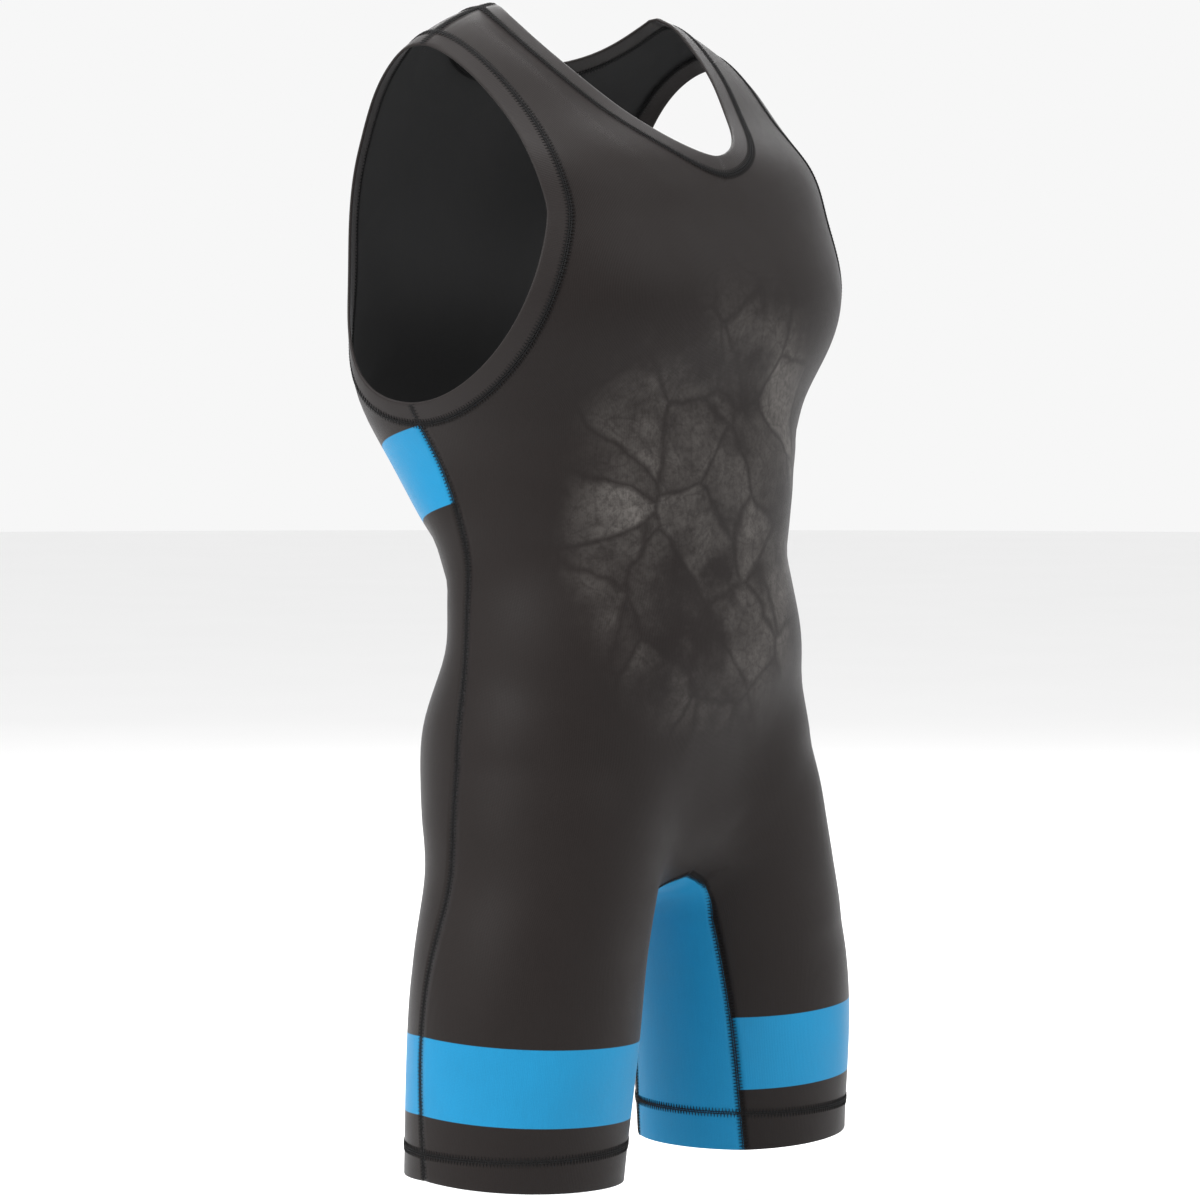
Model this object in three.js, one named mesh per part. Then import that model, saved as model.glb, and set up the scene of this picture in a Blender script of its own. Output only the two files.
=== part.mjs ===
import * as THREE from "three";

// Wrestling singlet in its worn shape: hollow stretch cloth over a general figure, in millimetres.
// +Z is up and the front faces -Y. The origin lies midway between the two shoulder straps, at strap height.

const CLOTH = 1.4; // wall of a single layer
const HEM_WALL = 2.6; // wall where a leg hem is turned up inside
const EDGE_WALL = 2.6; // wall of the turned neck and armhole hems
const EDGE_PROUD = 0.4; // how far these stand out of the panels
const SEAM_GAP = 0.3; // between two pieces at a seam

const EDGE_WIDTH = 17; // from the stitching of a neck or armhole hem to its fold
const HEM_DEPTH = 28; // height of the turned-up leg hems
const HEM_STEP = 1.2; // run of the step where the turned-up layer ends

// The body of the figure, by height. The section is a squared ellipse that reaches halfWidth to each
// side of x 0, and front and back of its widest line at y middle. The side seam runs at y sideSeam.
const TORSO = [
  { height: 0, halfWidth: 203, middle: 4, front: 40, back: 34, squareness: 2.2, sideSeam: 6 },
  { height: -30, halfWidth: 203, middle: 4, front: 60, back: 52, squareness: 2.2, sideSeam: 6 },
  { height: -60, halfWidth: 203, middle: 4, front: 82, back: 74, squareness: 2.25, sideSeam: 6 },
  { height: -90, halfWidth: 203, middle: 3, front: 106, back: 90, squareness: 2.3, sideSeam: 5 },
  { height: -120, halfWidth: 203, middle: 2, front: 136, back: 101, squareness: 2.5, sideSeam: 5 },
  { height: -160, halfWidth: 203, middle: -2, front: 148, back: 111, squareness: 2.7, sideSeam: 4 },
  { height: -220, halfWidth: 202, middle: -2, front: 162, back: 107, squareness: 2.9, sideSeam: 4 },
  { height: -260, halfWidth: 197, middle: 4, front: 162, back: 104, squareness: 2.75, sideSeam: 3 },
  { height: -300, halfWidth: 184, middle: 13, front: 160, back: 98, squareness: 2.5, sideSeam: 1 },
  { height: -340, halfWidth: 163, middle: 3, front: 155, back: 100, squareness: 2.4, sideSeam: -7 },
  { height: -380, halfWidth: 155, middle: -14, front: 137, back: 94, squareness: 2.3, sideSeam: -19 },
  { height: -415, halfWidth: 148, middle: -28, front: 121, back: 88, squareness: 2.3, sideSeam: -22 },
  { height: -450, halfWidth: 151, middle: -38, front: 115, back: 89, squareness: 2.3, sideSeam: -23 },
  { height: -480, halfWidth: 156, middle: -42, front: 113, back: 92, squareness: 2.3, sideSeam: -26 },
  { height: -510, halfWidth: 160, middle: -42, front: 108, back: 105, squareness: 2.3, sideSeam: -28 },
  { height: -540, halfWidth: 164, middle: -43, front: 100, back: 118, squareness: 2.3, sideSeam: -30 },
  { height: -590, halfWidth: 166, middle: -46, front: 87, back: 114, squareness: 2.3, sideSeam: -34 },
  { height: -640, halfWidth: 176, middle: -50, front: 80, back: 92, squareness: 2.3, sideSeam: -37 },
  { height: -700, halfWidth: 196, middle: -56, front: 82, back: 84, squareness: 2.3, sideSeam: -30 },
  { height: -780, halfWidth: 204, middle: -56, front: 82, back: 82, squareness: 2.3, sideSeam: -28 },
  { height: -880, halfWidth: 210, middle: -56, front: 80, back: 80, squareness: 2.3, sideSeam: -37 },
];
const SHOULDER_BASE = -103; // above this height the figure domes over into the shoulders
const SHOULDER_RISE = 106;
const SEAT_BASE = -596; // below this height the body rounds in between the legs
const SEAT_DROP = 70;

// One leg, by height: its axis at x centre and y middle, and its reach from that axis.
const LEG = [
  { height: -560, centre: 84, middle: -52, halfWidth: 82, front: 84, back: 90 },
  { height: -640, centre: 102, middle: -56, halfWidth: 82, front: 85, back: 88 },
  { height: -700, centre: 118, middle: -57, halfWidth: 83, front: 84, back: 86 },
  { height: -760, centre: 127, middle: -57, halfWidth: 83, front: 84, back: 84 },
  { height: -850, centre: 133, middle: -54, halfWidth: 79, front: 80, back: 80 },
  { height: -900, centre: 136, middle: -53, halfWidth: 78, front: 78, back: 78 },
];
// The inner leg panel, by its share of the way from a leg hem to the middle of the crotch: how far it
// reaches forward and back round the leg's core, in degrees.
const GUSSET = [
  { share: 0, front: 40, back: 40 },
  { share: 0.4, front: 32, back: 34 },
  { share: 0.7, front: 32, back: 34 },
  { share: 1, front: 54, back: 48 },
];
const LEG_SQUARENESS = 2.1;
const LEG_TOP = -600; // above this height the leg rounds off inside the body
const LEG_RISE = 120;
const MERGE = 0.42; // how softly the legs and the body run into each other
const SCALE = 100; // the figure's field is in these units

const HEM_OUTER = -857; // leg hem at the side seam
const HEM_INNER = -866; // leg hem at the inner leg seams
const HIP_SEAM = -640; // height of the side seam level with the crotch
const LEG_CORE = -690; // the legs' inner core bends over to the body's from here
const CROTCH_CORE = -610; // to here
const SHOULDER_CORE = -150; // and the straps fan out from here

const SHOULDER_Y = 0; // line of the shoulder seams
const STRAP_INNER = 110; // shoulder seam, neck end
const STRAP_OUTER = 158; // shoulder seam, armhole end
const NECK_FRONT = -133; // lowest point of the neck's stitching, front
const NECK_BACK = -56; // and back
const NECK_CENTRE = -150; // the neck's curve is aimed from this height
const NECK_FULLNESS = { front: 1.75, back: 2.2 };
const ARMHOLE_BOTTOM = -314; // armhole's stitching at the side seam
const ARMHOLE_CENTRE = { y: 0, z: -165 }; // the armhole's curve is aimed from here
const ARMHOLE_FRONT = 0.81; // its reach forward and back, as slopes from that point
const ARMHOLE_BACK = 0.6;
const ARMHOLE_FULLNESS = { upper: 1.5, lower: 1.8, back: 2 };

const LEG_ROWS = 11;
const BODY_ROWS = 15;
const CHEST_ROWS = 9;
const STRAP_ROWS = 10;
const PANEL_COLUMNS = 11;
const GUSSET_COLUMNS = 5;
const EDGE_ROWS = 3;

const vec = (x, y, z) => new THREE.Vector3(x, y, z);
const clamp = THREE.MathUtils.clamp;

// Natural cubic curves through the columns of a table, read by one of them.
function readable(table, by = "height") {
  const rows = [...table].sort((a, b) => a[by] - b[by]);
  const heights = rows.map((row) => row[by]);
  const last = rows.length - 1;
  const columns = Object.keys(rows[0]).filter((key) => key !== by);
  const bendsIn = (key) => bendsOf(heights, rows.map((row) => row[key]));
  const bends = Object.fromEntries(columns.map((key) => [key, bendsIn(key)]));
  return (height) => {
    const z = clamp(height, heights[0], heights[last]);
    const i = clamp(heights.findIndex((h) => h >= z), 1, last);
    const step = heights[i] - heights[i - 1];
    const a = (heights[i] - z) / step;
    const b = 1 - a;
    const read = {};
    for (const key of columns)
      read[key] =
        a * rows[i - 1][key] +
        b * rows[i][key] +
        (((a ** 3 - a) * bends[key][i - 1] + (b ** 3 - b) * bends[key][i]) * step ** 2) / 6;
    return read;
  };
}

// Second derivatives of the natural cubic curve through the given values.
function bendsOf(at, values) {
  const last = at.length - 1;
  const bend = at.map(() => 0);
  const carry = at.map(() => 0);
  for (let i = 1; i < last; i++) {
    const share = (at[i] - at[i - 1]) / (at[i + 1] - at[i - 1]);
    const pivot = share * bend[i - 1] + 2;
    const slopeAfter = (values[i + 1] - values[i]) / (at[i + 1] - at[i]);
    const slopeBefore = (values[i] - values[i - 1]) / (at[i] - at[i - 1]);
    const turn = slopeAfter - slopeBefore;
    bend[i] = (share - 1) / pivot;
    carry[i] = ((6 * turn) / (at[i + 1] - at[i - 1]) - share * carry[i - 1]) / pivot;
  }
  for (let i = last - 1; i > 0; i--) carry[i] += bend[i] * carry[i + 1];
  return carry;
}

const torsoAt = readable(TORSO);
const legAt = readable(LEG);
const gussetAt = readable(GUSSET, "share");

// Zero on a squared ellipse, negative inside it. Each reach is a share of that direction's radius.
const squared = (reaches, squareness) => {
  const sum = reaches.reduce((total, reach) => total + Math.abs(reach) ** squareness, 0);
  return sum ** (1 / squareness) - 1;
};

function torsoField(p) {
  const size = torsoAt(p.z);
  const deep = p.y - size.middle;
  const over = Math.max(p.z - SHOULDER_BASE, 0) / SHOULDER_RISE;
  const under = Math.max(SEAT_BASE - p.z, 0) / SEAT_DROP;
  const forward = deep / (deep < 0 ? size.front : size.back);
  return squared([p.x / size.halfWidth, forward, over, under], size.squareness);
}

function legField(p, side) {
  const size = legAt(p.z);
  const deep = p.y - size.middle;
  const over = Math.max(p.z - LEG_TOP, 0) / LEG_RISE;
  const across = (p.x - side * size.centre) / size.halfWidth;
  const forward = deep / (deep < 0 ? size.front : size.back);
  return squared([across, forward, over], LEG_SQUARENESS);
}

// The lesser of two fields, run softly into each other.
function merged(a, b, softness) {
  const overlap = Math.max(softness - Math.abs(a - b), 0) / softness;
  return Math.min(a, b) - (overlap ** 3 * softness) / 6;
}

const figure = (p) => SCALE * merged(merged(legField(p, -1), legField(p, 1), MERGE), torsoField(p), MERGE);

function outward(p) {
  const h = 0.5;
  const beside = (dx, dy, dz) => figure(vec(p.x + dx, p.y + dy, p.z + dz));
  const slope = (dx, dy, dz) => beside(dx, dy, dz) - beside(-dx, -dy, -dz);
  return vec(slope(h, 0, 0), slope(0, h, 0), slope(0, 0, h)).divideScalar(2 * h);
}

// Where a line from inside the figure leaves it. The point remembers where its line started.
function leaving(origin, direction) {
  const step = 5;
  const longest = 400;
  const along = direction.clone().normalize();
  const at = (t) => origin.clone().addScaledVector(along, t);
  let inside = 0;
  while (figure(at(inside + step)) < 0 && inside < longest) inside += step;
  if (!(inside < longest)) throw new Error("a line stays inside the figure");
  let outside = inside + step;
  for (let i = 0; i < 24; i++) {
    const middle = (inside + outside) / 2;
    if (figure(at(middle)) < 0) inside = middle;
    else outside = middle;
  }
  const found = at(inside);
  found.core = origin;
  return found;
}

// Moves a point near the figure onto it.
function settled(p) {
  const q = p.clone();
  for (let i = 0; i < 6; i++) {
    const slope = outward(q);
    q.addScaledVector(slope, -figure(q) / slope.lengthSq());
  }
  return q;
}

// Sets a point's core: the figure's middle level with it, or the shoulder core for points above that.
function cored(p, x = 0) {
  const height = Math.min(p.z, SHOULDER_CORE);
  p.core = vec(x, torsoAt(height).middle, height);
  return p;
}

// Directions from a point's core, as turns away from straight ahead on its side and up from level.
function bearing(p, facing) {
  const reach = p.clone().sub(p.core);
  const turn = Math.atan2(reach.x, facing * reach.y);
  const lift = Math.atan2(reach.z, Math.hypot(reach.x, reach.y));
  return { turn, lift };
}

// A point the given share of the way round one face of the figure, from one point on it to another.
function between(from, to, share, facing) {
  const a = bearing(from, facing);
  const b = bearing(to, facing);
  const turn = THREE.MathUtils.lerp(a.turn, b.turn, share);
  const lift = THREE.MathUtils.lerp(a.lift, b.lift, share);
  const level = Math.cos(lift);
  const direction = vec(Math.sin(turn) * level, facing * Math.cos(turn) * level, Math.sin(lift));
  return leaving(from.core.clone().lerp(to.core, share), direction);
}

// Points of a curve, evenly spaced along its length; curve(0) to curve(1).
function evenly(curve, count) {
  const fine = 80;
  const lengths = [0];
  let before = curve(0);
  for (let i = 1; i <= fine; i++) {
    const here = curve(i / fine);
    lengths.push(lengths[i - 1] + here.distanceTo(before));
    before = here;
  }
  const points = [];
  for (let k = 0; k <= count; k++) {
    const wanted = lengths[fine] * (k / count);
    const i = clamp(lengths.findIndex((length) => length >= wanted), 1, fine);
    const share = (wanted - lengths[i - 1]) / (lengths[i] - lengths[i - 1]);
    points.push(curve((i - 1 + share) / fine));
  }
  return points;
}

// Distances up a leg from its hem: the turned-up hem, its step, and even rows above.
function legSteps(length) {
  const steps = [0, HEM_DEPTH / 2, HEM_DEPTH, HEM_DEPTH + HEM_STEP];
  const rest = length - HEM_DEPTH - HEM_STEP;
  for (let i = 1; i <= LEG_ROWS; i++) steps.push(HEM_DEPTH + HEM_STEP + (rest * i) / LEG_ROWS);
  return steps;
}

// A point of the right side seam, level with a core at x.
const sideSeam = (height, x = 0) => {
  const origin = vec(x, torsoAt(height).sideSeam, height);
  return cored(leaving(origin, vec(-1, 0, 0)), x);
};

// The right leg's core bent over to the middle of the crotch: along is the distance from the hem.
const CORE_STRAIGHT = LEG_CORE - HEM_INNER;
const CORE_RISE = CROTCH_CORE - LEG_CORE;
const CORE_LENGTH = CORE_STRAIGHT + (Math.PI / 4) * (legAt(LEG_CORE).centre + CORE_RISE);

// A point of the inner leg panel, where reach is -1 at its front seam and 1 at its back seam.
function innerLeg(along, reach) {
  const ends = gussetAt(along / CORE_LENGTH);
  const turn = clamp((along - CORE_STRAIGHT) / (CORE_LENGTH - CORE_STRAIGHT), 0, 1) * (Math.PI / 2);
  const height = turn > 0 ? LEG_CORE + CORE_RISE * Math.sin(turn) : HEM_INNER + along;
  const leg = legAt(Math.min(height, LEG_CORE));
  const origin = vec(-leg.centre * Math.cos(turn), leg.middle, height);
  const round = THREE.MathUtils.degToRad(THREE.MathUtils.mapLinear(reach, -1, 1, -ends.front, ends.back));
  const facingLeg = Math.cos(round);
  const direction = vec(facingLeg * Math.cos(turn), Math.sin(round), -facingLeg * Math.sin(turn));
  return cored(leaving(origin, direction), origin.x);
}

const strapEnd = (x) => leaving(vec(-x, SHOULDER_Y, SHOULDER_CORE), vec(0, 0, 1));
const centreLine = (facing, height) => leaving(vec(0, torsoAt(height).middle, height), vec(0, facing, 0));

// Stitching of the right armhole's hem, from the side seam at 0 to the shoulder seam at 1.
function armholeSeam(facing) {
  const aim = vec(0, ARMHOLE_CENTRE.y, ARMHOLE_CENTRE.z);
  const slopes = (p) => p.clone().sub(aim).divideScalar(-p.x);
  const bottom = slopes(sideSeam(ARMHOLE_BOTTOM));
  const top = slopes(strapEnd(STRAP_OUTER));
  const reach = facing < 0 ? ARMHOLE_FRONT : ARMHOLE_BACK;
  return (t) => {
    const angle = (t - 0.5) * Math.PI;
    const front = angle > 0 ? ARMHOLE_FULLNESS.upper : ARMHOLE_FULLNESS.lower;
    const power = 2 / (facing < 0 ? front : ARMHOLE_FULLNESS.back);
    const up = Math.sign(angle) * Math.abs(Math.sin(angle)) ** power;
    const direction = bottom.clone().lerp(top, (1 + up) / 2);
    direction.y += facing * reach * Math.abs(Math.cos(angle)) ** power;
    return cored(leaving(aim, direction));
  };
}

// Stitching of the neck hem on the right half, from the centre line at 0 to the shoulder seam at 1.
function neckSeam(facing) {
  const aim = vec(0, SHOULDER_Y, NECK_CENTRE);
  const low = centreLine(facing, facing < 0 ? NECK_FRONT : NECK_BACK).sub(aim);
  const high = strapEnd(STRAP_INNER).sub(aim);
  const fullness = facing < 0 ? NECK_FULLNESS.front : NECK_FULLNESS.back;
  return (t) => {
    const angle = (t * Math.PI) / 2;
    const across = Math.abs(Math.sin(angle)) ** (2 / fullness);
    const down = Math.abs(Math.cos(angle)) ** (2 / fullness);
    const rise = THREE.MathUtils.lerp(high.z, low.z, down);
    return cored(leaving(aim, vec(high.x * across, low.y * down, rise)));
  };
}

// A sheet of cloth: its points, the wall at each, and its four-cornered faces, seen from outside.
class Sheet {
  constructor() {
    this.points = [];
    this.walls = [];
    this.faces = [];
    this.found = new Map();
  }
  corner(point, wall) {
    const key = [point.x, point.y, point.z].map((n) => Math.round(n * 100)).join();
    if (!this.found.has(key)) {
      this.found.set(key, this.points.length);
      this.points.push(point.clone());
      this.walls.push(wall);
    }
    return this.found.get(key);
  }
  // Adds rows of points that run from left to right, seen from outside, with the first row lowest.
  addRows(rows, wallOf = () => CLOTH) {
    const at = rows.map((row, r) => row.map((point) => this.corner(point, wallOf(r))));
    for (let r = 1; r < rows.length; r++)
      for (let c = 1; c < rows[r].length; c++)
        this.faces.push([at[r - 1][c - 1], at[r - 1][c], at[r][c], at[r][c - 1]]);
  }
  // Edges that only one face has, each in that face's own direction.
  rim() {
    const once = new Map();
    for (const face of this.faces)
      face.forEach((a, i) => {
        const b = face[(i + 1) % 4];
        if (!once.delete(b + "," + a)) once.set(a + "," + b, [a, b]);
      });
    return [...once.values()];
  }
}

// A closed wall of cloth on a sheet, drawn in from its rim by half a seam's gap.
function wallOn(sheet, proud = 0) {
  const normals = sheet.points.map((p) => outward(p).normalize());
  const rim = sheet.rim();
  const inward = sheet.points.map(() => vec(0, 0, 0));
  for (const [a, b] of rim) {
    const edge = sheet.points[b].clone().sub(sheet.points[a]).normalize();
    for (const end of [a, b]) inward[end].add(normals[end].clone().cross(edge));
  }
  const drawn = sheet.points.map((p, i) => p.clone().addScaledVector(inward[i].normalize(), SEAM_GAP / 2));
  const outer = drawn.map((p, i) => p.clone().addScaledVector(normals[i], proud));
  const inner = drawn.map((p, i) => p.clone().addScaledVector(normals[i], proud - sheet.walls[i]));
  const count = drawn.length;
  const triangles = [];
  const add = (a, b, c, d) => triangles.push(a, b, c, a, c, d);
  for (const face of sheet.faces) {
    const across = (i) => drawn[face[i]].distanceTo(drawn[face[i + 2]]);
    const [a, b, c, d] = across(0) <= across(1) ? face : [...face.slice(1), face[0]];
    add(a, b, c, d);
    add(a + count, d + count, c + count, b + count);
  }
  for (const [a, b] of rim) add(a, a + count, b + count, b);
  const geometry = new THREE.BufferGeometry().setFromPoints([...outer, ...inner]);
  geometry.setIndex(triangles);
  geometry.computeVertexNormals();
  return geometry;
}

const mirrored = (rows) => rows.map((row) => row.map((p) => vec(-p.x, p.y, p.z)).reverse());
const flipped = (rows) => rows.map((row) => [...row].reverse());

// Rows of the right half of a panel, from the side seam to the middle.
function halfPanel(facing) {
  const innerLegSeam = legSteps(CORE_LENGTH).map((along) => innerLeg(along, facing));
  const outerLegSeam = legSteps(HIP_SEAM - HEM_OUTER).map((up, row) =>
    sideSeam(HEM_OUTER + up, innerLegSeam[row].core.x),
  );
  const middle = (low, high) => (t) => cored(between(low, high, t, facing));
  const bodySeam = (t) => sideSeam(THREE.MathUtils.lerp(HIP_SEAM, ARMHOLE_BOTTOM, t));
  const chest = cored(centreLine(facing, ARMHOLE_BOTTOM));
  const neck = neckSeam(facing);
  const outer = [
    ...outerLegSeam,
    ...evenly(bodySeam, BODY_ROWS).slice(1),
    ...evenly(armholeSeam(facing), CHEST_ROWS + STRAP_ROWS).slice(1),
  ];
  const inner = [
    ...innerLegSeam,
    ...evenly(middle(innerLegSeam.at(-1), chest), BODY_ROWS).slice(1),
    ...evenly(middle(chest, neck(0)), CHEST_ROWS).slice(1),
    ...evenly(neck, STRAP_ROWS).slice(1),
  ];
  return outer.map((from, row) => {
    const to = inner[row];
    const points = [from];
    for (let c = 1; c < PANEL_COLUMNS; c++) points.push(between(from, to, c / PANEL_COLUMNS, facing));
    return [...points, to];
  });
}

const hemWall = (row) => (row < 3 ? HEM_WALL : CLOTH);

function panel(facing) {
  const sheet = new Sheet();
  const right = halfPanel(facing);
  const outwardRows = facing < 0 ? right : flipped(right);
  sheet.addRows(outwardRows, hemWall);
  sheet.addRows(mirrored(outwardRows), hemWall);
  return wallOn(sheet);
}

function innerLegPanel() {
  const rows = legSteps(CORE_LENGTH).map((along) => {
    const points = [];
    for (let c = 0; c <= GUSSET_COLUMNS; c++)
      points.push(innerLeg(along, (2 * c) / GUSSET_COLUMNS - 1));
    return points;
  });
  const sheet = new Sheet();
  sheet.addRows(rows, hemWall);
  sheet.addRows(mirrored(rows), hemWall);
  return wallOn(sheet);
}

// A turned hem, from the closed line of its stitching to its fold round the opening.
function turnedHem(line) {
  const rows = [line];
  const count = line.length;
  for (let row = 1; row <= EDGE_ROWS; row++) {
    const last = rows.at(-1);
    rows.push(
      last.map((p, i) => {
        const along = last[(i + 1) % count].clone().sub(last[(i + count - 1) % count]);
        const into = outward(p).cross(along).normalize();
        return settled(p.clone().addScaledVector(into, EDGE_WIDTH / EDGE_ROWS));
      }),
    );
  }
  const sheet = new Sheet();
  sheet.addRows(rows.map((row) => [...row, row[0]]), () => EDGE_WALL);
  return wallOn(sheet, EDGE_PROUD);
}

// Closed loop of the right armhole's stitching, round with the opening on its left seen from outside.
function armholeLoop() {
  const front = evenly(armholeSeam(-1), CHEST_ROWS + STRAP_ROWS);
  const back = evenly(armholeSeam(1), CHEST_ROWS + STRAP_ROWS);
  return [...front.slice(0, -1), ...back.slice(1).reverse()];
}

function neckLoop() {
  const mirror = (p) => vec(-p.x, p.y, p.z);
  const front = evenly(neckSeam(-1), STRAP_ROWS);
  const back = evenly(neckSeam(1), STRAP_ROWS);
  const right = [...front, ...back.slice(0, -1).reverse()];
  const left = right.slice(1, -1).map(mirror).reverse();
  return [...right, ...left].reverse();
}

const charcoal = new THREE.MeshStandardMaterial({ color: 0x3a3533, roughness: 0.55, metalness: 0 });
const hemCharcoal = new THREE.MeshStandardMaterial({ color: 0x443f3e, roughness: 0.55, metalness: 0 });
const blue = new THREE.MeshStandardMaterial({ color: 0x2e9bd6, roughness: 0.5, metalness: 0 });

const singlet = new THREE.Group();

function addPiece(name, geometry, material) {
  const piece = new THREE.Mesh(geometry, material);
  piece.name = name;
  singlet.add(piece);
  return piece;
}

addPiece("front_panel", panel(-1), charcoal);
addPiece("back_panel", panel(1), charcoal);
addPiece("inner_leg_panel", innerLegPanel(), blue);
addPiece("neck_hem", turnedHem(neckLoop()), hemCharcoal);
const rightArmhole = armholeLoop();
addPiece("armhole_hem_right", turnedHem(rightArmhole), hemCharcoal);
const leftArmhole = rightArmhole.map((p) => vec(-p.x, p.y, p.z)).reverse();
addPiece("armhole_hem_left", turnedHem(leftArmhole), hemCharcoal);

export default singlet;
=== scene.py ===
"""Wrestling singlet in its worn shape: knit panels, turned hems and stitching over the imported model."""

import math

import bpy
import numpy as np
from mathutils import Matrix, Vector


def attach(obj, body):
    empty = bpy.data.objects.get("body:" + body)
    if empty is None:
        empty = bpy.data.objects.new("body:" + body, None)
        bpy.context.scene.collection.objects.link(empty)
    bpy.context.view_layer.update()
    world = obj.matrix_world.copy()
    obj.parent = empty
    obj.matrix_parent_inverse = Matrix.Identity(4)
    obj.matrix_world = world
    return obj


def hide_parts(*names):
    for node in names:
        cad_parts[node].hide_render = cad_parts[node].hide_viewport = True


bl_info = {
    "name": "Wrestling Singlet",
    "version": (1, 0, 0),
    "blender": (4, 5, 0),
    "location": "View3D > Sidebar > Singlet",
    "description": "Builds a stretch-knit wrestling singlet round its packed model",
    "category": "Object",
}

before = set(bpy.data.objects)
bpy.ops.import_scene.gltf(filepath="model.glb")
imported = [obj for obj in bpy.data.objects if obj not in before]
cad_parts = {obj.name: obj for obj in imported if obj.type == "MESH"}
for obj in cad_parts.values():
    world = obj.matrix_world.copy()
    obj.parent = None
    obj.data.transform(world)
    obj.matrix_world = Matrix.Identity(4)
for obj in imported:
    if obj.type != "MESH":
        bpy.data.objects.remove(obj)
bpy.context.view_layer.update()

MM = 0.001
MIRROR = np.array([-1.0, 1.0, 1.0])  # from the garment's right to its left

# The figure under the cloth, in millimetres. The front faces -Y, and the garment's right is at -X.
TORSO_COLUMNS = ("half_width", "middle", "front", "back", "squareness", "side_seam")
TORSO = [
    (0, 203, 4, 40, 34, 2.2, 6),
    (-30, 203, 4, 60, 52, 2.2, 6),
    (-60, 203, 4, 82, 74, 2.25, 6),
    (-90, 203, 3, 106, 90, 2.3, 5),
    (-120, 203, 2, 136, 101, 2.5, 5),
    (-160, 203, -2, 148, 111, 2.7, 4),
    (-220, 202, -2, 162, 107, 2.9, 4),
    (-260, 197, 4, 162, 104, 2.75, 3),
    (-300, 184, 13, 160, 98, 2.5, 1),
    (-340, 163, 3, 155, 100, 2.4, -7),
    (-380, 155, -14, 137, 94, 2.3, -19),
    (-415, 148, -28, 121, 88, 2.3, -22),
    (-450, 151, -38, 115, 89, 2.3, -23),
    (-480, 156, -42, 113, 92, 2.3, -26),
    (-510, 160, -42, 108, 105, 2.3, -28),
    (-540, 164, -43, 100, 118, 2.3, -30),
    (-590, 166, -46, 87, 114, 2.3, -34),
    (-640, 176, -50, 80, 92, 2.3, -37),
    (-700, 196, -56, 82, 84, 2.3, -30),
    (-780, 204, -56, 82, 82, 2.3, -28),
    (-880, 210, -56, 80, 80, 2.3, -37),
]
SHOULDER_BASE = -103
SHOULDER_RISE = 106
SEAT_BASE = -596
SEAT_DROP = 70

LEG_COLUMNS = ("centre", "middle", "half_width", "front", "back")
LEG = [
    (-560, 84, -52, 82, 84, 90),
    (-640, 102, -56, 82, 85, 88),
    (-700, 118, -57, 83, 84, 86),
    (-760, 127, -57, 83, 84, 84),
    (-850, 133, -54, 79, 80, 80),
    (-900, 136, -53, 78, 78, 78),
]
LEG_SQUARENESS = 2.1
LEG_TOP = -600
LEG_RISE = 120
MERGE = 0.42
SCALE = 100

# The inner leg panel: share of the way from a leg hem to the crotch, and its reach round the leg in degrees.
GUSSET_COLUMNS = ("front", "back")
GUSSET = [(0, 40, 40), (0.4, 32, 34), (0.7, 32, 34), (1, 54, 48)]

HEM_OUTER = -857
HEM_INNER = -866
HIP_SEAM = -640
LEG_CORE = -690
CROTCH_CORE = -610
SHOULDER_CORE = -150
SHOULDER_Y = 0
STRAP_INNER = 110
STRAP_OUTER = 158
NECK_FRONT = -133
NECK_BACK = -56
NECK_CENTRE = -150
NECK_FULLNESS = {-1: 1.75, 1: 2.2}
ARMHOLE_BOTTOM = -314
ARMHOLE_CENTRE = (0, 0, -165)
ARMHOLE_REACH = {-1: 0.81, 1: 0.6}
ARMHOLE_UPPER = {-1: 1.5, 1: 2}
ARMHOLE_LOWER = {-1: 1.8, 1: 2}

# Rows and columns of the cloth's grids.
LEG_ROWS = 33
BODY_ROWS = 45
CHEST_ROWS = 27
STRAP_ROWS = 30
HALF_COLUMNS = 34
GUSSET_COLUMN_COUNT = 16
HEM_ROWS = 5
EDGE_ROWS = 8
NECK_POINTS = {"edge": 42, "stitching": 60}
ARMHOLE_POINTS = {"edge": 76, "stitching": 90}
FOLD_ANGLES = (40, 80, 120, 160)
SEAM_INSET = 0.02
LEG_WIDTH = 200  # of one panel across a leg, roughly
GUSSET_WIDTH = 50  # of half the inner leg panel, roughly

# Creases: both ends as x, height and face (-1 front, 1 back), then half width and rise, all in millimetres.
CREASES = [
    ((34, -655, -1), (134, -548, -1), 16, -4.2),
    ((156, -500, -1), (40, -545, -1), 24, -2.6),
    ((128, -575, -1), (150, -700, -1), 26, 1.8),
    ((26, -650, -1), (70, -622, -1), 7, 1.2),
    ((20, -628, -1), (52, -596, -1), 8, -0.8),
    ((148, -330, -1), (92, -318, -1), 9, -1.4),
    ((146, -356, -1), (84, -348, -1), 10, -1.1),
    ((138, -404, -1), (88, -418, -1), 12, -1.7),
    ((30, -648, 1), (126, -626, 1), 13, -3.4),
    ((134, -398, 1), (56, -422, 1), 12, -2.0),
    ((132, -430, 1), (76, -446, 1), 10, -1.5),
    ((120, -462, 1), (40, -470, 1), 14, 1.2),
    ((150, -300, 1), (98, -258, 1), 12, -1.7),
    ((172, -700, -1), (104, -722, -1), 12, -0.8),
    ((168, -712, 1), (108, -730, 1), 12, -0.8),
]
LEFT_SHARE = 0.85  # how deep the left side's creases are beside the right's
LEFT_SHIFT = 6  # and how much lower they lie


def unit(vectors):
    """Vectors of length 1 along the last axis."""
    return vectors / np.maximum(np.linalg.norm(vectors, axis=-1, keepdims=True), 1e-9)


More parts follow.
